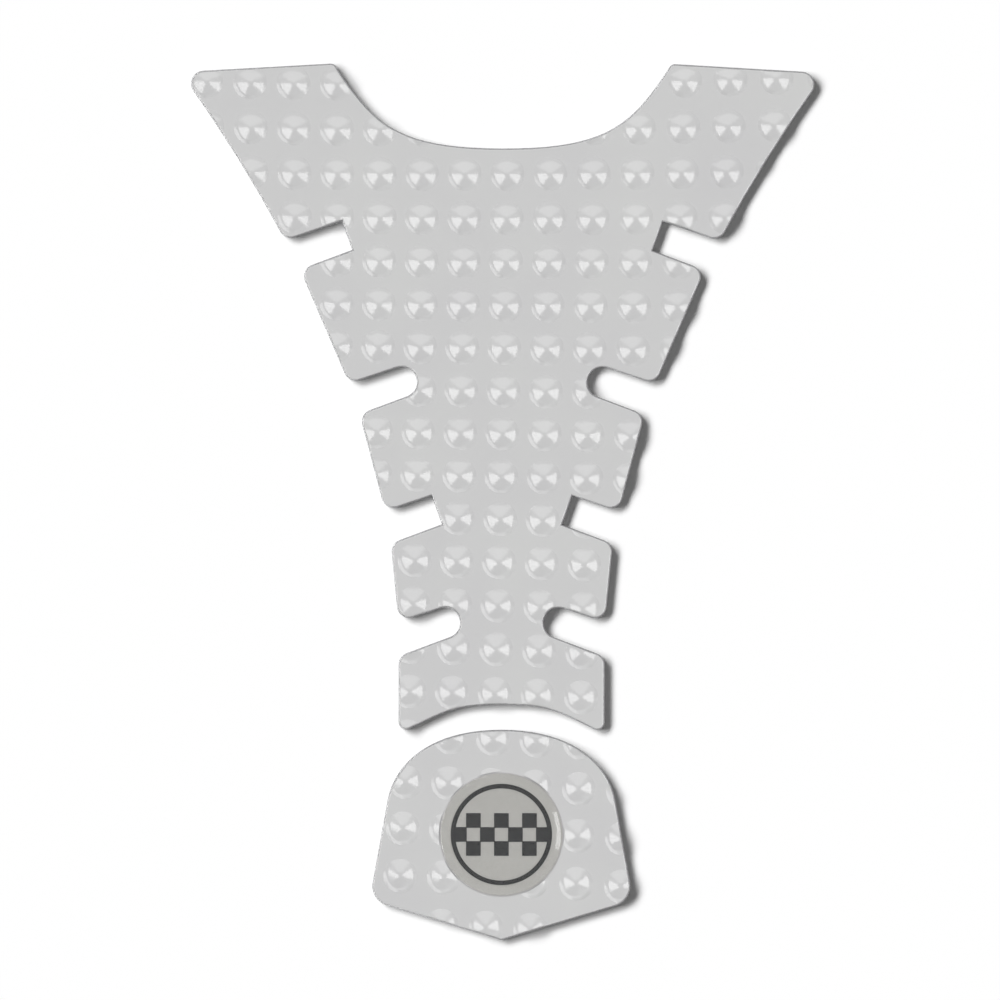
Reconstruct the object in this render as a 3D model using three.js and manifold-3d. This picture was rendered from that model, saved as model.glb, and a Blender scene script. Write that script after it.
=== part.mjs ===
// Motorcycle tank pad, lying flat: a studded spine pad with two horns and four notches a side,
// a separate shield pad below it, and a round domed badge on the shield.
// Millimetres. +X to the right, +Y towards the horns, +Z out of the studded face.
import * as THREE from 'three';
import { mergeVertices } from 'three/addons/utils/BufferGeometryUtils.js';
import Module from 'manifold-3d';

const wasm = await Module();
wasm.setup();

// Sheet that both pads are cut from
const sheetThickness = 2.0;

// Studs moulded on the sheet: a steep rim and a low cone on it
const studDiameter = 8.0;
const studRimWidth = 0.9;
const studRimHeight = 0.35;
const studConeRise = 0.6;
const studSides = 12;

// Stud pattern: rows and columns of one soft sheet. They lean a little against the cut outline,
// open out slowly away from a point, bow a little, and fan out towards the tail
const studColumnPitch = 10.23;
const studRowPitch = 10.39;
const studColumnLean = 1.54;
const studRowLean = 0.89;
const studPatternX = -0.24;
const studPatternY = 6.26;
const studColumnsEachSide = 8;
const studRowsEachSide = 11;
const studOpening = 3.74e-6;
const studOpeningX = -25.5;
const studOpeningY = 19.3;
const studColumnBow = 0.0195;
const studRowBow = 0.0054;
const studRowFan = 0.0116;

// Spine pad, measured over its sharp corners before they are rounded
const spineLength = 163.6;
const hornSpan = 157.4;
const hornDrop = 2.15;
const waistWidth = 50.3;
const waistHeight = 23.6;
const flarePower = 1.845;
const hornSideSteps = 4;

// Bay between the horns, which clears the filler cap
const bayWidth = 82.4;
const bayDepth = 20.7;
const bayFloorReach = 26.5;
const bayWallReach = 17.1;
const bayWallAngle = 56.8;

// Hollow of the tail edge, which follows the top of the shield
const tailHollow = 7.2;
const tailFloorReach = 12.1;
const tailCornerReach = 12.9;
const tailCornerAngle = 26;

// Notches on each side, from the horns down: place of the blind end from the centre line and
// above the tail corners
const notchWidth = 7.4;
const notchFall = 19.5;
const notchFlare = 2;
const hornNotchOut = 37.9;
const hornNotchUp = 121.6;
const shoulderNotchOut = 24.5;
const shoulderNotchUp = 85.9;
const ribNotchOut = 15.9;
const ribNotchUp = 54.7;
const waistNotchOut = 13.9;
const waistNotchUp = 27.2;

// Corner radii of the cut outlines
const hornRadius = 4.0;
const hornTipRadius = 1.5;
const tabRadius = 3.0;
const tailRadius = 2.4;
const shieldRadius = 5.0;

// Shield pad
const pieceGap = 6.1;
const shieldLength = 51.3;
const shieldWidth = 64.4;
const shieldPoint = 9.7;
const shieldShoulderWidth = 55.6;
const shieldShoulderDrop = 17.2;
const shieldCrownReach = 18.2;
const shieldShoulderReach = 8.4;

// Badge: printed disc, chequered print and clear dome, on a seat where the studs are left out
const badgeDiameter = 30;
const badgeDrop = 25.5;
const seatClearance = 0.3;
const discThickness = 0.4;
const printThickness = 0.12;
const printDiameter = 24.6;
const printRingWidth = 1.1;
const checkSize = 3.4;
const checkOverlap = 0.16;
const checkRows = 3;
const domeInset = 0.15;
const domeEdge = 0.5;
const domeRise = 1.5;
const domeRecessClearance = 0.3;

const curveSteps = 20;
const cornerSteps = 8;
const roundSteps = 48;
const domeRings = 6;

// Worked out from the sizes above
const shieldTop = tailHollow - pieceGap;
const shieldTip = shieldTop - shieldLength;
const padCentre = (spineLength + shieldTip) / 2;
const badgeY = shieldTop - badgeDrop;
const discTop = sheetThickness + discThickness;
const printTop = discTop + printThickness;
const cutterHeight = sheetThickness + studRimHeight + studConeRise + 1;

const point = (x, y) => new THREE.Vector2(x, y);
const radians = THREE.MathUtils.degToRad;

// A closed three.js geometry as a solid that can be joined and cut
function solidOf(geometry) {
  const plain = geometry.clone();
  plain.deleteAttribute('normal');
  plain.deleteAttribute('uv');
  const merged = mergeVertices(plain, 1e-5);
  const corners = merged.index.array;
  const triangles = [];
  for (let k = 0; k < corners.length; k += 3) {
    const [a, b, c] = corners.slice(k, k + 3);
    if (a !== b && b !== c && c !== a) triangles.push(a, b, c);
  }
  return new wasm.Manifold(new wasm.Mesh({
    numProp: 3,
    vertProperties: Float32Array.from(merged.attributes.position.array),
    triVerts: Uint32Array.from(triangles),
  }));
}

function geometryOf(solid) {
  const { numProp, vertProperties, triVerts } = solid.getMesh();
  const geometry = new THREE.BufferGeometry();
  const places = new THREE.BufferAttribute(Float32Array.from(vertProperties), numProp);
  geometry.setAttribute('position', places);
  geometry.setIndex(new THREE.BufferAttribute(Uint32Array.from(triVerts), 1));
  geometry.computeVertexNormals();
  return geometry;
}

// A flat outline made as thick as depth, with its lower face at z
function extruded(outline, z, depth) {
  const shape = new THREE.Shape(outline);
  return new THREE.ExtrudeGeometry(shape, { depth, bevelEnabled: false }).translate(0, 0, z);
}

// A profile of [radius, height] pairs turned about the Z axis
function turned(profile, steps) {
  const points = profile.map(([radius, height]) => point(radius, height));
  return new THREE.LatheGeometry(points, steps).rotateX(Math.PI / 2);
}

// Outline points with each corner that has a radius rounded by an arc; the arc is kept
// inside the sides that meet there
function rounded(corners) {
  const outline = [];
  corners.forEach(({ at, radius }, k) => {
    if (!radius) {
      outline.push(at);
      return;
    }
    const back = corners[(k + corners.length - 1) % corners.length].at.clone().sub(at);
    const on = corners[(k + 1) % corners.length].at.clone().sub(at);
    const room = 0.45 * Math.min(back.length(), on.length());
    const half = Math.acos(back.dot(on) / (back.length() * on.length())) / 2;
    const reach = Math.min(radius / Math.tan(half), room);
    const inward = back.normalize().clone().add(on.normalize()).normalize();
    const centre = at.clone().addScaledVector(inward, reach / Math.cos(half));
    const first = at.clone().addScaledVector(back, reach).sub(centre);
    const sweep = (Math.PI - 2 * half) * Math.sign(back.cross(on));
    for (let step = 0; step <= cornerSteps; step += 1) {
      const turn = -sweep * step / cornerSteps;
      outline.push(first.clone().rotateAround(point(0, 0), turn).add(centre));
    }
  });
  return outline;
}

// The right half of an outline, from its top to its bottom point, with its mirror image
function mirrored(half) {
  const onAxis = ({ at }) => Math.abs(at.x) < 1e-9;
  const left = half.filter((corner) => !onAxis(corner)).reverse();
  return [...half, ...left.map(({ at, radius }) => ({ at: point(-at.x, at.y), radius }))];
}

const plainCorners = (points) => points.map((at) => ({ at }));

// Half the width of the spine pad at a height, without its notches
function sideAt(y) {
  const hornHeight = spineLength - hornDrop;
  const rise = Math.max(0, (y - waistHeight) / (hornHeight - waistHeight));
  return (waistWidth + (hornSpan - waistWidth) * rise ** flarePower) / 2;
}

// Where a straight notch edge meets the side of the spine pad
function mouthOf(start, fall) {
  const direction = point(Math.cos(fall), -Math.sin(fall));
  let near = 0;
  let far = hornSpan;
  for (let step = 0; step < 50; step += 1) {
    const middle = (near + far) / 2;
    const at = start.clone().addScaledVector(direction, middle);
    if (at.x < sideAt(at.y)) near = middle;
    else far = middle;
  }
  return start.clone().addScaledVector(direction, near);
}

// One notch, from its upper mouth corner round the blind end to its lower mouth corner
function notch({ out, up, round }) {
  const upperFall = radians(notchFall - notchFlare / 2);
  const lowerFall = radians(notchFall + notchFlare / 2);
  const centre = point(out, up);
  const across = point(Math.sin(radians(notchFall)), Math.cos(radians(notchFall)));
  const end = [];
  if (round) {
    const from = Math.PI / 2 - upperFall;
    const sweep = Math.PI + upperFall - lowerFall;
    for (let step = 0; step <= 2 * cornerSteps; step += 1) {
      const angle = from + sweep * step / (2 * cornerSteps);
      end.push(point(Math.cos(angle), Math.sin(angle)).multiplyScalar(notchWidth / 2).add(centre));
    }
  } else {
    end.push(centre.clone().addScaledVector(across, notchWidth / 2));
    end.push(centre.clone().addScaledVector(across, -notchWidth / 2));
  }
  return [
    { at: mouthOf(end[0], upperFall), radius: tabRadius },
    ...plainCorners(end),
    { at: mouthOf(end.at(-1), lowerFall), radius: tabRadius },
  ];
}

function spineOutline() {
  const bayCorner = point(bayWidth / 2, spineLength);
  const bayFloor = point(0, spineLength - bayDepth);
  const wall = point(Math.cos(radians(bayWallAngle)), Math.sin(radians(bayWallAngle)));
  const bay = new THREE.CubicBezierCurve(
    bayFloor,
    bayFloor.clone().add(point(bayFloorReach, 0)),
    bayCorner.clone().addScaledVector(wall, -bayWallReach),
    bayCorner,
  );
  const notches = [
    { out: hornNotchOut, up: hornNotchUp, round: false },
    { out: shoulderNotchOut, up: shoulderNotchUp, round: true },
    { out: ribNotchOut, up: ribNotchUp, round: false },
    { out: waistNotchOut, up: waistNotchUp, round: true },
  ].map(notch);
  const hornTop = spineLength - hornDrop;
  const hornFoot = notches[0][0].at.y;
  const hornSide = [];
  for (let step = 1; step < hornSideSteps; step += 1) {
    const y = hornTop + (hornFoot - hornTop) * step / hornSideSteps;
    hornSide.push(point(sideAt(y), y));
  }
  const tailCorner = point(waistWidth / 2, 0);
  const tailFloor = point(0, tailHollow);
  const tailEdge = point(Math.cos(radians(tailCornerAngle)), -Math.sin(radians(tailCornerAngle)));
  const tail = new THREE.CubicBezierCurve(
    tailCorner,
    tailCorner.clone().addScaledVector(tailEdge, -tailCornerReach),
    tailFloor.clone().add(point(tailFloorReach, 0)),
    tailFloor,
  );
  return rounded(mirrored([
    ...plainCorners(bay.getPoints(curveSteps).slice(0, -2)),
    { at: bayCorner, radius: hornTipRadius },
    { at: point(hornSpan / 2, hornTop), radius: hornRadius },
    ...plainCorners(hornSide),
    ...notches.flat(),
    { at: tailCorner, radius: tailRadius },
    ...plainCorners(tail.getPoints(curveSteps / 2).slice(2)),
  ]));
}

function shieldOutline() {
  const crown = point(0, shieldTop);
  const shoulder = point(shieldShoulderWidth / 2, shieldTop - shieldShoulderDrop);
  const corner = point(shieldWidth / 2, shieldTip + shieldPoint);
  const side = shoulder.clone().sub(corner).normalize();
  const arch = new THREE.CubicBezierCurve(
    crown,
    crown.clone().add(point(shieldCrownReach, 0)),
    shoulder.clone().addScaledVector(side, shieldShoulderReach),
    shoulder,
  );
  return rounded(mirrored([
    ...plainCorners(arch.getPoints(curveSteps)),
    { at: corner, radius: shieldRadius },
    { at: point(0, shieldTip) },
  ]));
}

// Centres of the studs, from the middle of the whole pad
function studCentres() {
  const column = point(studColumnPitch, -studColumnPitch * Math.tan(radians(studRowLean)));
  const row = point(-studRowPitch * Math.tan(radians(studColumnLean)), -studRowPitch);
  const opening = point(studOpeningX, studOpeningY);
  const centres = [];
  for (let i = -studColumnsEachSide; i <= studColumnsEachSide; i += 1) {
    for (let j = -studRowsEachSide; j <= studRowsEachSide; j += 1) {
      const from = point(studPatternX, studPatternY)
        .addScaledVector(column, i)
        .addScaledVector(row, j)
        .sub(opening);
      const bent = point(-studColumnBow * j * j, -(studRowBow * i + studRowFan * j) * i);
      centres.push(opening.clone().addScaledVector(from, 1 + studOpening * from.lengthSq()).add(bent));
    }
  }
  return centres;
}

// True where a stud at this centre reaches into the outline
function meets(outline, centre) {
  const inside = outline.reduce((crossings, a, k) => {
    const b = outline[(k + 1) % outline.length];
    if ((a.y > centre.y) === (b.y > centre.y)) return crossings;
    return crossings + (centre.x < a.x + (b.x - a.x) * (centre.y - a.y) / (b.y - a.y) ? 1 : 0);
  }, 0) % 2 === 1;
  return inside || outline.some((a, k) => {
    const side = outline[(k + 1) % outline.length].clone().sub(a);
    const along = THREE.MathUtils.clamp(centre.clone().sub(a).dot(side) / side.lengthSq(), 0, 1);
    return a.clone().addScaledVector(side, along).distanceTo(centre) < studDiameter / 2;
  });
}

const stud = turned([
  [0, sheetThickness / 2],
  [studDiameter / 2, sheetThickness / 2],
  [studDiameter / 2, sheetThickness],
  [studDiameter / 2 - studRimWidth, sheetThickness + studRimHeight],
  [0, sheetThickness + studRimHeight + studConeRise],
], studSides);

// A studded sheet cut to an outline; seat is a solid that the studs are cleared from
function studdedPad(outline, seat) {
  const box = new THREE.Box2().setFromPoints(outline).expandByScalar(studDiameter);
  const size = box.getSize(point(0, 0));
  const centre = box.getCenter(point(0, 0));
  const slab = new THREE.BoxGeometry(size.x, size.y, sheetThickness)
    .translate(centre.x, centre.y, sheetThickness / 2);
  let pad = solidOf(slab);
  for (const place of studCentres()) {
    const at = place.add(point(0, padCentre));
    if (meets(outline, at)) pad = pad.add(solidOf(stud.clone().translate(at.x, at.y, 0)));
  }
  if (seat) pad = pad.subtract(seat);
  return pad.intersect(solidOf(extruded(outline, -1, cutterHeight + 1)));
}

// The badge is centred on its own axis, at the height where it lies on the shield
function badgeSeat() {
  const radius = badgeDiameter / 2 + seatClearance;
  const seat = turned([
    [0, sheetThickness],
    [radius, sheetThickness],
    [radius, cutterHeight],
    [0, cutterHeight],
  ], roundSteps);
  return solidOf(seat.translate(0, badgeY, 0));
}

function badgeDisc() {
  return turned([
    [0, sheetThickness],
    [badgeDiameter / 2, sheetThickness],
    [badgeDiameter / 2, discTop],
    [0, discTop],
  ], roundSteps);
}

// A plain ring with a band of chequers across it; the squares overlap a little at their
// corners, so the print is one piece
function badgePrint() {
  const radius = printDiameter / 2;
  const inner = radius - printRingWidth;
  const disc = (size) => solidOf(turned([
    [0, discTop],
    [size, discTop],
    [size, printTop],
    [0, printTop],
  ], roundSteps));
  const ring = disc(radius).subtract(solidOf(turned([
    [0, discTop - 1],
    [inner, discTop - 1],
    [inner, printTop + 1],
    [0, printTop + 1],
  ], roundSteps)));
  const side = checkSize + checkOverlap;
  const columns = 2 * Math.ceil(radius / checkSize) + 1;
  let squares = null;
  for (let row = 0; row < checkRows; row += 1) {
    for (let column = row % 2; column < columns; column += 2) {
      const square = solidOf(new THREE.BoxGeometry(side, side, printThickness).translate(
        (column - (columns - 1) / 2) * checkSize,
        (row - (checkRows - 1) / 2) * checkSize,
        discTop + printThickness / 2,
      ));
      squares = squares ? squares.add(square) : square;
    }
  }
  return ring.add(squares.intersect(disc(inner + printRingWidth / 2)));
}

function badgeDome() {
  const radius = badgeDiameter / 2 - domeInset;
  const recess = printDiameter / 2 + domeRecessClearance;
  const profile = [[0, printTop], [recess, printTop], [recess, discTop], [radius, discTop]];
  const sphere = (radius ** 2 + domeRise ** 2) / (2 * domeRise);
  const edge = Math.asin(radius / sphere);
  for (let ring = 0; ring <= domeRings; ring += 1) {
    const angle = edge * (1 - ring / domeRings);
    const drop = sphere * (1 - Math.cos(angle));
    profile.push([sphere * Math.sin(angle), discTop + domeEdge + domeRise - drop]);
  }
  return turned(profile, roundSteps);
}

function mesh(name, geometry, color, roughness, options = {}) {
  const material = new THREE.MeshStandardMaterial({ color, roughness, metalness: 0, ...options });
  const piece = new THREE.Mesh(geometry, material);
  piece.name = name;
  return piece;
}

const sheetColour = 0xc9c9ca;
const discColour = 0xb4b5b0;
const printColour = 0x38383e;

const badge = new THREE.Group();
badge.position.y = badgeY;
badge.add(
  mesh('badge_disc', badgeDisc(), discColour, 0.45, { metalness: 0.2 }),
  mesh('badge_print', geometryOf(badgePrint()), printColour, 0.4),
  mesh('badge_dome', badgeDome(), 0xffffff, 0.05, { transparent: true, opacity: 0.25 }),
);

const tankPad = new THREE.Group();
tankPad.name = 'tank_pad';
tankPad.position.y = -padCentre;
tankPad.add(
  mesh('spine_pad', geometryOf(studdedPad(spineOutline())), sheetColour, 0.35),
  mesh('shield_pad', geometryOf(studdedPad(shieldOutline(), badgeSeat())), sheetColour, 0.35),
  badge,
);

export default tankPad;
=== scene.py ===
# Looks of the motorcycle tank pad: two studded sheets lying flat and a round domed badge.
# Sizes are in millimetres and become metres where a piece is made.
import math
import bpy
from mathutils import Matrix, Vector


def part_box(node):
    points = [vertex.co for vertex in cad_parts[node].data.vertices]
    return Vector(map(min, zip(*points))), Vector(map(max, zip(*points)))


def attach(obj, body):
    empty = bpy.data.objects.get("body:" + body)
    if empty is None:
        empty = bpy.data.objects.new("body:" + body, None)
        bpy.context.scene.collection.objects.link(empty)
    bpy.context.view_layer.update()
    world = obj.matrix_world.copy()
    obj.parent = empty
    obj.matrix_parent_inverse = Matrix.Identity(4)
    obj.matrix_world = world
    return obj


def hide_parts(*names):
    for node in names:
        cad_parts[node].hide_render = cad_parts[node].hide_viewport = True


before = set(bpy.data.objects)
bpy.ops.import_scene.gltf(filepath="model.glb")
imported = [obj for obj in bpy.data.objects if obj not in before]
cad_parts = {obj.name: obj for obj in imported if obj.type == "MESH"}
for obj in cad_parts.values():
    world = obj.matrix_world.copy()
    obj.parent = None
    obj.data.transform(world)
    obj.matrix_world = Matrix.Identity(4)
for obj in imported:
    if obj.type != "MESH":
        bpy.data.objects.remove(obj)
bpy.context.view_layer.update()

MM = 0.001

# Tolerances in metres: for heights, for corners that are welded into one, and for slivers
HEIGHT_TOLERANCE = 1e-6
BACK_WELD = 1e-7
SHEET_WELD = 2e-6
SLIVER = 1e-6

# How far a face looks up, as the height of its normal: a level face, and the least that still
# belongs to the studded face and not to the edge roll
LEVEL = 0.9995
STUDDED_FACE_LIMIT = 0.9

# Bends in degrees: those that stay sharp when a piece is smoothed, and the most in a flat back
SHEET_CREASE = 24
BADGE_CREASE = 35
LENS_CREASE = 40
FLAT_WITHIN = 0.1

# Moulded sheet: its flat face, and the small roll that the cutting die leaves along the top edge
SHEET_THICKNESS = 2.0
EDGE_ROLL = 0.5
EDGE_ROLL_STEPS = 5

# How far a cutting tool reaches past what it cuts
CUT_MARGIN = 1.0

# One stud, as radius and slope in degrees from its foot to its tip: a steeper rim and a low
# cone with a blunt point. Its foot is just under the sheet's face and its root inside the sheet
STUD_SIDES = 36
STUD_ROOT = -0.6
STUD_FOOT = -0.01
STUD_SLOPES = [
    (4.15, 21.5),
    (3.75, 22.5),
    (3.4, 21),
    (3.2, 17),
    (3.0, 13.5),
    (2.8, 11.5),
    (1.3, 10.8),
    (0.95, 8.6),
    (0.55, 5.2),
    (0.22, 2),
    (0.06, 0),
]

# Rows and columns of studs in one soft sheet: pitches, leans in degrees, the place of the middle
# stud, and how much the pattern opens out from a centre, bows and fans out
COLUMN_PITCH = 10.23
ROW_PITCH = 10.39
COLUMN_LEAN = 1.54
ROW_LEAN = 0.89
PATTERN_START = Vector((-0.24, 6.26))
COLUMNS_EACH_SIDE = 8
ROWS_EACH_SIDE = 11
PATTERN_OPENING = 3.74e-6
OPENING_CENTRE = Vector((-25.5, 19.3))
COLUMN_BOW = 0.0195
ROW_BOW = 0.0054
ROW_FAN = 0.0116

# Badge on the shield: label, print and clear lens. The lens is hollowed round the print, with a
# ring in the hollow's ceiling, and its tip is a share of its radius
BADGE_SIDES = 128
SEAT_CLEARANCE = 0.3
LABEL_EDGE_ROLL = 0.06
LABEL_EDGE_ROLL_STEPS = 2
PRINT_RING_WIDTH = 1.1
CHECK_SIZE = 3.4
CHECK_OVERLAP = 0.16
CHECK_ROWS = 3
LENS_GAP = 0.012
LENS_STEPS = 14
LENS_TIP = 0.02
RECESS_CLEARANCE = 0.3
RECESS_RING = 1.0

# Where the noise of a finish is at its low and its high tone
NOISE_LOW = 0.3
NOISE_HIGH = 0.7

# Floor, a hair under the sheets' backs
FLOOR_SIZE = 12000.0
FLOOR_DROP = 0.03

# Camera: straight down over the pad, with the frame's width at the height of the sheet
FRAME_WIDTH = 243.9
CAMERA_HEIGHT = 3000.0
CAMERA_PLACE = (-0.49, 0.46)
CAMERA_ROLL = 0.1
SENSOR_WIDTH = 36.0
NEAREST_SEEN = 50.0
FARTHEST_SEEN = 50000.0

# Suns that draw the shadow beside the pad and light only the floor: azimuth, elevation and width
# in degrees, and level
SHADOW_SUNS = {
    "shadow_upper": (136, 37, 18, 0.32),
    "shadow_key": (155, 37, 18, 0.33),
    "shadow_lower": (178, 37, 18, 0.24),
}

# Even light from all round
FILL_LEVEL = 0.14

# Broad light on the pad alone, tilted a little towards the horns
PAD_LIGHT_TILT = 12.0
PAD_LIGHT_AZIMUTH = 100.0
PAD_LIGHT_WIDTH = 100.0
PAD_LIGHT_LEVEL = 0.89

# Light tent round the pad, seen only as reflections in the two sheets. From above, the studs
# mirror the high walls, and the steep part of the edge roll mirrors the low edge walls.
# Each wall stands upright from its first corner to its second, with its foot, its top and its
# glow, and shines to the left of that way
TENT_WALLS = {
    "right_wall": ((303, -199), (320, 105), 470, 1500, 5.5),
    "left_wall": ((-405, 116), (-225, -238), 590, 1500, 5.5),
    "horn_wall": ((250, 274), (-300, 274), 330, 1400, 1.7),
    "low_band": ((-150, -760), (760, -60), 450, 1000, 1.2),
    "edge_wall": ((-400, 500), (-400, -520), 5, 100, 19),
    "edge_wall_upper": ((-150, 700), (-400, 500), 5, 100, 19),
    "edge_wall_lower": ((-400, -520), (-90, -760), 5, 100, 19),
}
# Wall of the same kind that only the lens mirrors, at its right side
LENS_WALL = ((300, -173), (300, 34), 150, 450, 8)
# Level panels of the tent: middle, size, height, turn in degrees and glow
TENT_PANELS = {
    "low_corner": ((-495, -345), (215, 1060), 640, 35, 4.0),
    "low_edge": ((0, -440), (300, 150), 450, 0, 1.5),
}


# Shaping

def only(piece):
    """Makes a piece the one that operators act on."""
    if bpy.context.mode != "OBJECT":
        bpy.ops.object.mode_set(mode="OBJECT")
    bpy.ops.object.select_all(action="DESELECT")
    piece.select_set(True)
    bpy.context.view_layer.objects.active = piece


def newest(name):
    """Names the piece that an operator has just made."""
    piece = bpy.context.active_object
    piece.name = name
    piece.data.name = name
    return piece


def pick(piece, wanted, kind="FACE"):
    """Leaves a piece in edit mode with only its wanted faces or edges selected."""
    only(piece)
    bpy.ops.object.mode_set(mode="EDIT")
    bpy.ops.mesh.select_mode(type=kind)
    bpy.ops.mesh.select_all(action="DESELECT")
    bpy.ops.object.mode_set(mode="OBJECT")
    parts = piece.data.polygons if kind == "FACE" else piece.data.edges
    for part in parts:
        part.select = wanted(part)
    bpy.ops.object.mode_set(mode="EDIT")


def pick_all(piece):
    """Leaves a piece in edit mode with all its faces selected."""
    only(piece)
    bpy.ops.object.mode_set(mode="EDIT")
    bpy.ops.mesh.select_mode(type="FACE")
    bpy.ops.mesh.select_all(action="SELECT")


def back_to_object():
    bpy.ops.object.mode_set(mode="OBJECT")


def settle(piece):
    """Moves a piece's place into its mesh, so that its object sits at the origin."""
    only(piece)
    bpy.ops.object.transform_apply(location=True, rotation=True, scale=True)


def carve(piece, tool, operation):
    """Joins, cuts or keeps what two solids share, and removes the tool."""
    only(piece)
    bpy.ops.object.modifier_add(type="BOOLEAN")
    step = piece.modifiers[-1]
    step.operation = operation
    step.object = tool
    step.solver = "MANIFOLD"
    bpy.ops.object.modifier_apply(modifier=step.name)
    bpy.data.objects.remove(tool)


def raise_face(height):
    """Extrudes the selected faces straight up by a height in millimetres."""
    bpy.ops.mesh.extrude_region_move(TRANSFORM_OT_translate={"value": (0, 0, height * MM)})


def turn_outwards():
    """Turns every face of the piece in edit mode outwards."""
    bpy.ops.mesh.select_all(action="SELECT")
    bpy.ops.mesh.normals_make_consistent(inside=False)


def roll_top_edge(piece, top, width, steps):
    """Rolls the edge round a flat top; top and width are in millimetres."""
    corner = piece.data.vertices
    lowest = top * MM - HEIGHT_TOLERANCE
    pick(piece, lambda edge: all(corner[v].co.z > lowest for v in edge.vertices), "EDGE")
    bpy.ops.mesh.bevel(offset=width * MM, segments=steps, affect="EDGES")
    back_to_object()


def turn_up(name, sides, profile, place=(0, 0)):
    """A round solid, raised ring by ring through a profile of radius and height."""
    x, y = place[0] * MM, place[1] * MM
    radius, height = profile[0]
    bpy.ops.object.select_all(action="DESELECT")
    bpy.ops.mesh.primitive_circle_add(
        vertices=sides, radius=radius * MM, fill_type="NGON", location=(x, y, height * MM))
    piece = newest(name)
    settle(piece)
    pick_all(piece)
    for (radius_below, height_below), (radius, height) in zip(profile, profile[1:]):
        raise_face(height - height_below)
        grow = radius / radius_below
        bpy.ops.transform.resize(value=(grow, grow, 1), center_override=(x, y, height * MM))
    turn_outwards()
    back_to_object()
    return piece


def smooth(piece, degrees):
    """Smooths the curved parts and keeps each flat face apart from what bends away from it."""
    only(piece)
    bpy.ops.object.shade_smooth()
    pick(piece, lambda face: abs(face.normal.z) > LEVEL)
    bpy.ops.mesh.region_to_loop()
    bpy.ops.mesh.mark_sharp()
    bpy.ops.mesh.select_all(action="DESELECT")
    bpy.ops.mesh.edges_select_sharp(sharpness=math.radians(degrees))
    bpy.ops.mesh.mark_sharp()
    back_to_object()


# Studded sheets

def stud_places(node):
    """Stud centres that reach the outline box of a packed pad, in millimetres."""
    low, high = (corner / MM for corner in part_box(node))
    reach = STUD_SLOPES[0][0]
    lean = math.tan(math.radians(COLUMN_LEAN))
    fall = math.tan(math.radians(ROW_LEAN))
    for i in range(-COLUMNS_EACH_SIDE, COLUMNS_EACH_SIDE + 1):
        for j in range(-ROWS_EACH_SIDE, ROWS_EACH_SIDE + 1):
            column = Vector((COLUMN_PITCH, -COLUMN_PITCH * fall)) * i
            row = Vector((-ROW_PITCH * lean, -ROW_PITCH)) * j
            spread = PATTERN_START + column + row - OPENING_CENTRE
            place = OPENING_CENTRE + spread * (1 + PATTERN_OPENING * spread.length_squared)
            place -= Vector((COLUMN_BOW * j * j, (ROW_BOW * i + ROW_FAN * j) * i))
            across = low.x - reach < place.x < high.x + reach
            along = low.y - reach < place.y < high.y + reach
            if across and along:
                yield place


def stud_field(node, stud):
    """Copies of one stud at every place of a pad, joined."""
    copies = []
    for place in stud_places(node):
        copy = stud.copy()
        copy.data = stud.data.copy()
        copy.location = (place.x * MM, place.y * MM, SHEET_THICKNESS * MM)
        bpy.context.scene.collection.objects.link(copy)
        copies.append(copy)
    only(copies[0])
    for copy in copies:
        copy.select_set(True)
    bpy.ops.object.join()
    field = newest(node + "_studs")
    settle(field)
    return field


def flat_back(node, name):
    """The flat back of a packed pad as one face."""
    piece = bpy.data.objects.new(name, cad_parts[node].data.copy())
    piece.data.name = name
    bpy.context.scene.collection.objects.link(piece)
    only(piece)
    bpy.ops.mesh.customdata_custom_splitnormals_clear()
    pick_all(piece)
    bpy.ops.mesh.remove_doubles(threshold=BACK_WELD)
    pick(piece, lambda face: face.normal.z > -LEVEL)
    bpy.ops.mesh.delete(type="FACE")
    bpy.ops.mesh.select_all(action="SELECT")
    bpy.ops.mesh.dissolve_limited(
        angle_limit=math.radians(FLAT_WITHIN), use_dissolve_boundaries=False)
    back_to_object()
    return piece


def studded_sheet(node, name, stud, seat=None):
    """A die-cut sheet with its studs, on the outline of a packed pad."""
    sheet = flat_back(node, name)
    pick_all(sheet)
    raise_face(SHEET_THICKNESS)
    turn_outwards()
    roll_top_edge(sheet, SHEET_THICKNESS, EDGE_ROLL, EDGE_ROLL_STEPS)

    # The studs are cut along the inner edge of that roll
    top = SHEET_THICKNESS * MM
    cutter = bpy.data.objects.new(node + "_stud_cutter", sheet.data.copy())
    bpy.context.scene.collection.objects.link(cutter)
    pick(cutter, lambda face: face.normal.z < LEVEL or face.center.z < top - HEIGHT_TOLERANCE)
    bpy.ops.mesh.delete(type="FACE")
    bpy.ops.mesh.select_all(action="SELECT")
    bpy.ops.transform.translate(value=(0, 0, -top / 2))
    raise_face(2 * SHEET_THICKNESS)
    turn_outwards()
    back_to_object()

    studs = stud_field(node, stud)
    carve(studs, cutter, "INTERSECT")
    if seat:
        carve(studs, seat, "DIFFERENCE")
    carve(sheet, studs, "UNION")
    pick_all(sheet)
    bpy.ops.mesh.remove_doubles(threshold=SHEET_WELD)
    bpy.ops.mesh.dissolve_degenerate(threshold=SLIVER)
    back_to_object()
    smooth(sheet, SHEET_CREASE)
    return sheet


def make_stud():
    """One stud from below the sheet's face, its heights summed up from its slopes."""
    height = STUD_FOOT
    profile = [(STUD_SLOPES[0][0], STUD_ROOT), (STUD_SLOPES[0][0], height)]
    for (outer, low_slope), (inner, high_slope) in zip(STUD_SLOPES, STUD_SLOPES[1:]):
        slope = math.radians((low_slope + high_slope) / 2)
        height += (outer - inner) * math.tan(slope)
        profile.append((inner, height))
    return turn_up("stud", STUD_SIDES, profile)


# Badge, with its place, radii and heights from the frame

def radius_and_top(node):
    """Radius and top of a packed round piece, in millimetres."""
    low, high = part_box(node)
    return (high - low).x / 2 / MM, high.z / MM


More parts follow.
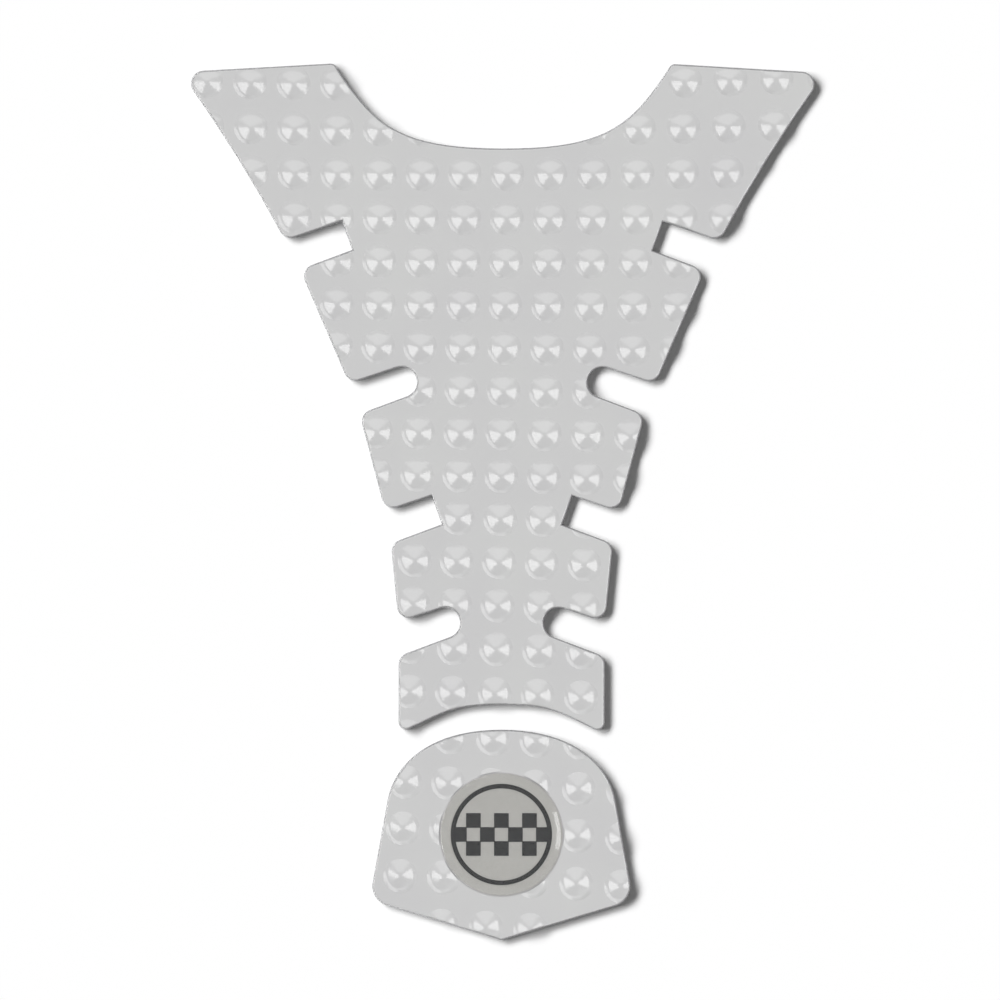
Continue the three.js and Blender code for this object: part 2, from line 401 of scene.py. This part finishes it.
badge_place = (sum(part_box("badge_disc"), Vector()) / 2 / MM).xy
badge_radius, label_top = radius_and_top("badge_disc")
print_radius, print_top = radius_and_top("badge_print")
lens_radius, lens_top = radius_and_top("badge_dome")


def make_seat():
    """What is cleared of studs where the badge lies."""
    radius = badge_radius + SEAT_CLEARANCE
    profile = [(radius, SHEET_THICKNESS / 2), (radius, 2 * SHEET_THICKNESS)]
    return turn_up("badge_seat", BADGE_SIDES, profile, badge_place)


def make_label():
    """The round label under the lens, with a rolled upper edge."""
    profile = [(badge_radius, SHEET_THICKNESS), (badge_radius, label_top)]
    label = turn_up("badge_label", BADGE_SIDES, profile, badge_place)
    roll_top_edge(label, label_top, LABEL_EDGE_ROLL, LABEL_EDGE_ROLL_STEPS)
    smooth(label, BADGE_CREASE)
    return label


def make_print():
    """A thin ring with a band of chequers across it."""
    def disc(name, radius, margin=0.0):
        profile = [(radius, label_top - margin), (radius, print_top + margin)]
        return turn_up(name, BADGE_SIDES, profile, badge_place)

    inner = print_radius - PRINT_RING_WIDTH
    ring = disc("badge_chequer", print_radius)
    carve(ring, disc("ring_opening", inner, CUT_MARGIN), "DIFFERENCE")
    columns = 2 * math.ceil(print_radius / CHECK_SIZE) + 1
    side = (CHECK_SIZE + CHECK_OVERLAP) * MM
    band = None
    for row in range(CHECK_ROWS):
        for column in range(row % 2, columns, 2):
            x = badge_place.x + (column - (columns - 1) / 2) * CHECK_SIZE
            y = badge_place.y + (row - (CHECK_ROWS - 1) / 2) * CHECK_SIZE
            bpy.ops.object.select_all(action="DESELECT")
            bpy.ops.mesh.primitive_cube_add(
                size=1, location=(x * MM, y * MM, (label_top + print_top) / 2 * MM))
            square = newest("check")
            bpy.ops.transform.resize(value=(side, side, (print_top - label_top) * MM))
            settle(square)
            if band:
                carve(band, square, "UNION")
            else:
                band = square
    bound = disc("band_bound", inner + PRINT_RING_WIDTH / 2, CUT_MARGIN)
    carve(band, bound, "INTERSECT")
    carve(ring, band, "UNION")
    smooth(ring, BADGE_CREASE)
    return ring


def make_lens():
    """Clear cast resin that stands up from the label's edge, hollowed for the print."""
    foot = label_top + LENS_GAP
    ceiling = print_top + LENS_GAP
    recess = print_radius + RECESS_CLEARANCE
    rise = lens_top - foot
    profile = [(recess - RECESS_RING, ceiling), (recess, ceiling), (recess, foot)]
    profile.append((lens_radius, foot))
    for step in range(1, LENS_STEPS):
        turn = math.pi / 2 * step / LENS_STEPS
        profile.append((lens_radius * math.cos(turn), foot + rise * math.sin(turn)))
    profile.append((lens_radius * LENS_TIP, lens_top))
    lens = turn_up("badge_lens", BADGE_SIDES, profile, badge_place)
    smooth(lens, LENS_CREASE)
    return lens


# Finishes

def finish_named(name):
    """A new finish with its nodes, its links and its main shader."""
    material = bpy.data.materials.new(name)
    material.use_nodes = True
    nodes = material.node_tree.nodes
    shader = nodes["Principled BSDF"]
    return material, nodes, material.node_tree.links, shader


def grain(nodes, links, scale, detail, stretch=(1, 1, 1)):
    """Noise in the piece's own coordinates; scale is in repeats per metre."""
    place = nodes.new("ShaderNodeTexCoord")
    mapping = nodes.new("ShaderNodeMapping")
    mapping.inputs["Scale"].default_value = stretch
    noise = nodes.new("ShaderNodeTexNoise")
    noise.inputs["Scale"].default_value = scale
    noise.inputs["Detail"].default_value = detail
    links.new(place.outputs["Object"], mapping.inputs["Vector"])
    links.new(mapping.outputs["Vector"], noise.inputs["Vector"])
    return noise.outputs["Fac"]


def between(nodes, links, factor, low, high):
    """A value that follows a pattern between two limits."""
    spread = nodes.new("ShaderNodeMapRange")
    spread.inputs["From Min"].default_value = NOISE_LOW
    spread.inputs["From Max"].default_value = NOISE_HIGH
    spread.inputs["To Min"].default_value = low
    spread.inputs["To Max"].default_value = high
    links.new(factor, spread.inputs["Value"])
    return spread.outputs["Result"]


def tones(nodes, links, factor, dark, light):
    """A colour that follows a pattern between two tones."""
    ramp = nodes.new("ShaderNodeValToRGB")
    ramp.color_ramp.elements[0].position = NOISE_LOW
    ramp.color_ramp.elements[1].position = NOISE_HIGH
    ramp.color_ramp.elements[0].color = (*dark, 1)
    ramp.color_ramp.elements[1].color = (*light, 1)
    links.new(factor, ramp.inputs["Fac"])
    return ramp.outputs["Color"]


def relief(nodes, links, factor, shader, depth):
    """Bump of a depth in millimetres."""
    bump = nodes.new("ShaderNodeBump")
    bump.inputs["Strength"].default_value = 1.0
    bump.inputs["Distance"].default_value = depth * MM
    links.new(factor, bump.inputs["Height"])
    links.new(bump.outputs["Normal"], shader.inputs["Normal"])


def moulded_sheet():
    """Satin silver-grey sheet with a fine pearly grain and slow clouds of tone."""
    material, nodes, links, shader = finish_named("moulded_silver_sheet")
    clouds = grain(nodes, links, 45, detail=3)
    links.new(tones(nodes, links, clouds, (0.543, 0.541, 0.545), (0.563, 0.565, 0.561)),
              shader.inputs["Base Color"])
    fine = grain(nodes, links, 2600, detail=2)
    links.new(between(nodes, links, fine, 0.1, 0.14), shader.inputs["Roughness"])
    relief(nodes, links, fine, shader, 0.0012)
    return material


def cut_edge():
    """Roll, die-cut side and back of a sheet: glossy, with faint upright streaks, and darker as
    painted shade for the dark line along the sheet's edges.
    """
    material, nodes, links, shader = finish_named("die_cut_edge_painted_shade")
    streaks = grain(nodes, links, 1500, detail=3, stretch=(1, 1, 0.08))
    # The dark tones are painted shade along the edges, not the sheet's own colour; the upright
    # streaks are grain
    links.new(tones(nodes, links, streaks, (0.20, 0.20, 0.205), (0.26, 0.26, 0.265)),
              shader.inputs["Base Color"])
    links.new(between(nodes, links, streaks, 0.25, 0.4), shader.inputs["Roughness"])
    shader.inputs["Specular IOR Level"].default_value = 1.0
    relief(nodes, links, streaks, shader, 0.02)
    return material


def silver_label():
    """Satin silver label stock with a faint metallic fleck."""
    material, nodes, links, shader = finish_named("silver_label")
    fleck = grain(nodes, links, 1800, detail=2)
    links.new(tones(nodes, links, fleck, (0.440, 0.421, 0.432), (0.471, 0.452, 0.464)),
              shader.inputs["Base Color"])
    links.new(between(nodes, links, fleck, 0.4, 0.55), shader.inputs["Roughness"])
    shader.inputs["Specular IOR Level"].default_value = 0.2
    relief(nodes, links, fleck, shader, 0.002)
    return material


def printed_ink():
    """Charcoal screen print with a slight unevenness."""
    material, nodes, links, shader = finish_named("charcoal_print")
    film = grain(nodes, links, 900, detail=3)
    links.new(tones(nodes, links, film, (0.004, 0.004, 0.006), (0.007, 0.007, 0.009)),
              shader.inputs["Base Color"])
    links.new(between(nodes, links, film, 0.45, 0.6), shader.inputs["Roughness"])
    shader.inputs["Specular IOR Level"].default_value = 0.1
    relief(nodes, links, film, shader, 0.002)
    return material


def clear_resin():
    """Clear cast resin that lets lamps through to the label."""
    material, nodes, links, shader = finish_named("clear_cast_resin")
    shader.inputs["Base Color"].default_value = (0.97, 0.98, 0.955, 1)
    shader.inputs["Roughness"].default_value = 0.03
    shader.inputs["IOR"].default_value = 1.3
    shader.inputs["Transmission Weight"].default_value = 1.0
    shader.inputs["Coat Weight"].default_value = 1.0
    shader.inputs["Coat Roughness"].default_value = 0.12
    shader.inputs["Coat IOR"].default_value = 1.25
    ripple = grain(nodes, links, 110, detail=1)
    relief(nodes, links, ripple, shader, 0.01)
    path = nodes.new("ShaderNodeLightPath")
    through = nodes.new("ShaderNodeBsdfTransparent")
    through.inputs["Color"].default_value = (0.95, 0.96, 0.93, 1)
    choice = nodes.new("ShaderNodeMixShader")
    links.new(path.outputs["Is Shadow Ray"], choice.inputs["Fac"])
    links.new(shader.outputs["BSDF"], choice.inputs[1])
    links.new(through.outputs["BSDF"], choice.inputs[2])
    links.new(choice.outputs["Shader"], nodes["Material Output"].inputs["Surface"])
    return material


def studio_floor():
    """Plain pale floor without a sheen."""
    material, _, _, shader = finish_named("studio_floor")
    shader.inputs["Base Color"].default_value = (0.97, 0.97, 0.97, 1)
    shader.inputs["Roughness"].default_value = 0.9
    shader.inputs["Specular IOR Level"].default_value = 0.0
    return material


def dress(piece, slot, replaced, *finishes, belongs=lambda face: 0):
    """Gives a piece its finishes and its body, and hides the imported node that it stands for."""
    piece.data.materials.clear()
    for finish in finishes:
        piece.data.materials.append(finish)
    for face in piece.data.polygons:
        face.material_index = belongs(face)
    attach(piece, "root")
    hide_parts(replaced)


def side_or_face(face):
    """Number of a face's finish: 0 for the studded face, 1 for the roll, the sides and the back,
    which carry the painted shade of the edges.
    """
    return 1 if face.normal.z < STUDDED_FACE_LIMIT else 0


stud = make_stud()
sheet_finish, edge_finish_and_painted_shade = moulded_sheet(), cut_edge()
spine = studded_sheet("spine_pad", "spine_pad_sheet", stud)
shield = studded_sheet("shield_pad", "shield_pad_sheet", stud, make_seat())
bpy.data.objects.remove(stud)
for sheet, node in ((spine, "spine_pad"), (shield, "shield_pad")):
    dress(sheet, "studded_sheet", node, sheet_finish, edge_finish_and_painted_shade, belongs=side_or_face)
label, chequer, lens = make_label(), make_print(), make_lens()
dress(label, "badge_face", "badge_disc", silver_label())
dress(chequer, "badge_ink", "badge_print", printed_ink())
dress(lens, "clear_resin", "badge_dome", clear_resin())


# Studio

def direction(azimuth, elevation):
    """The way to a far lamp, with its azimuth counted from the right towards the horns."""
    turn, lift = math.radians(azimuth), math.radians(elevation)
    level = math.cos(lift)
    return Vector((math.cos(turn) * level, math.sin(turn) * level, math.sin(lift)))


def add_floor():
    bpy.ops.object.select_all(action="DESELECT")
    bpy.ops.mesh.primitive_plane_add(size=FLOOR_SIZE * MM, location=(0, 0, -FLOOR_DROP * MM))
    floor = newest("studio_floor")
    settle(floor)
    floor.data.materials.append(studio_floor())
    return floor


def add_camera():
    lens_length = SENSOR_WIDTH * CAMERA_HEIGHT / FRAME_WIDTH
    height = (CAMERA_HEIGHT + SHEET_THICKNESS) * MM
    place = (CAMERA_PLACE[0] * MM, CAMERA_PLACE[1] * MM, height)
    turn = (0, 0, math.radians(CAMERA_ROLL))
    bpy.ops.object.camera_add(location=place, rotation=turn)
    camera = bpy.context.active_object
    camera.name = "camera"
    camera.data.sensor_width = SENSOR_WIDTH
    camera.data.lens = lens_length
    camera.data.clip_start = NEAREST_SEEN * MM
    camera.data.clip_end = FARTHEST_SEEN * MM
    bpy.context.scene.camera = camera


def lights_only(lamp, pieces):
    """Makes a lamp light some pieces and nothing else."""
    group = bpy.data.collections.new(lamp.name + "_lights")
    for piece in pieces:
        group.objects.link(piece)
    lamp.light_linking.receiver_collection = group


def add_sun(name, towards, width, level, pieces):
    """A far lamp; level is how much light it gives a flat white sheet."""
    turn = towards.to_track_quat("Z", "Y").to_euler()
    bpy.ops.object.light_add(type="SUN", rotation=turn)
    lamp = bpy.context.active_object
    lamp.name = name
    lamp.data.angle = math.radians(width)
    lamp.data.energy = level * math.pi / towards.z
    lamp.visible_glossy = False
    lamp.visible_transmission = False
    lights_only(lamp, pieces)


def add_softbox(name, centre, size, turn, glow, pieces):
    """A flat box of light that only reflections show; glow is 1 for white."""
    bpy.ops.object.light_add(type="AREA", location=[v * MM for v in centre], rotation=turn)
    lamp = bpy.context.active_object
    lamp.name = name
    lamp.data.shape = "RECTANGLE"
    lamp.data.size = size[0] * MM
    lamp.data.size_y = size[1] * MM
    lamp.data.energy = glow * math.pi * lamp.data.size * lamp.data.size_y
    lamp.visible_diffuse = False
    lamp.visible_camera = False
    lamp.visible_transmission = False
    lights_only(lamp, pieces)


def add_wall(name, first, second, foot, top, glow, pieces):
    """An upright softbox that shines to the left of the way from its first corner."""
    along = Vector(second) - Vector(first)
    middle = (Vector(first) + Vector(second)) / 2
    turn = (math.radians(90), 0, math.atan2(along.y, along.x))
    size = (along.length, top - foot)
    add_softbox(name, (*middle, (foot + top) / 2), size, turn, glow, pieces)


def add_world():
    """Even fill for the surfaces, and white behind everything that is seen or mirrored."""
    world = bpy.data.worlds.new("studio")
    world.use_nodes = True
    bpy.context.scene.world = world
    nodes, links = world.node_tree.nodes, world.node_tree.links
    nodes["Background"].inputs["Color"].default_value = (1, 1, 1, 1)
    path = nodes.new("ShaderNodeLightPath")
    seen = path.outputs["Is Camera Ray"]
    for ray in ("Is Glossy Ray", "Is Transmission Ray"):
        either = nodes.new("ShaderNodeMath")
        either.operation = "MAXIMUM"
        links.new(seen, either.inputs[0])
        links.new(path.outputs[ray], either.inputs[1])
        seen = either.outputs[0]
    # The label is lit by the lamps through the lens, so a ray that bends out of it adds nothing
    direct = nodes.new("ShaderNodeMath")
    direct.operation = "LESS_THAN"
    direct.inputs[1].default_value = 0.5
    links.new(path.outputs["Diffuse Depth"], direct.inputs[0])
    level = nodes.new("ShaderNodeMapRange")
    level.inputs["To Min"].default_value = FILL_LEVEL
    links.new(direct.outputs[0], level.inputs["To Max"])
    links.new(seen, level.inputs["Value"])
    links.new(level.outputs["Result"], nodes["Background"].inputs["Strength"])


floor = add_floor()
add_camera()
add_world()
pad_pieces = [spine, shield, label, chequer, lens]
for name, (azimuth, elevation, width, level) in SHADOW_SUNS.items():
    add_sun(name, direction(azimuth, elevation), width, level, [floor])
overhead = direction(PAD_LIGHT_AZIMUTH, 90 - PAD_LIGHT_TILT)
add_sun("pad_light", overhead, PAD_LIGHT_WIDTH, PAD_LIGHT_LEVEL, pad_pieces)
for name, wall in TENT_WALLS.items():
    add_wall(name, *wall, [spine, shield])
add_wall("lens_wall", *LENS_WALL, [lens])
for name, (middle, size, height, turn, glow) in TENT_PANELS.items():
    turn = (0, 0, math.radians(turn))
    add_softbox(name, (*middle, height), size, turn, glow, [spine, shield])
bpy.context.scene.view_settings.view_transform = "Standard"
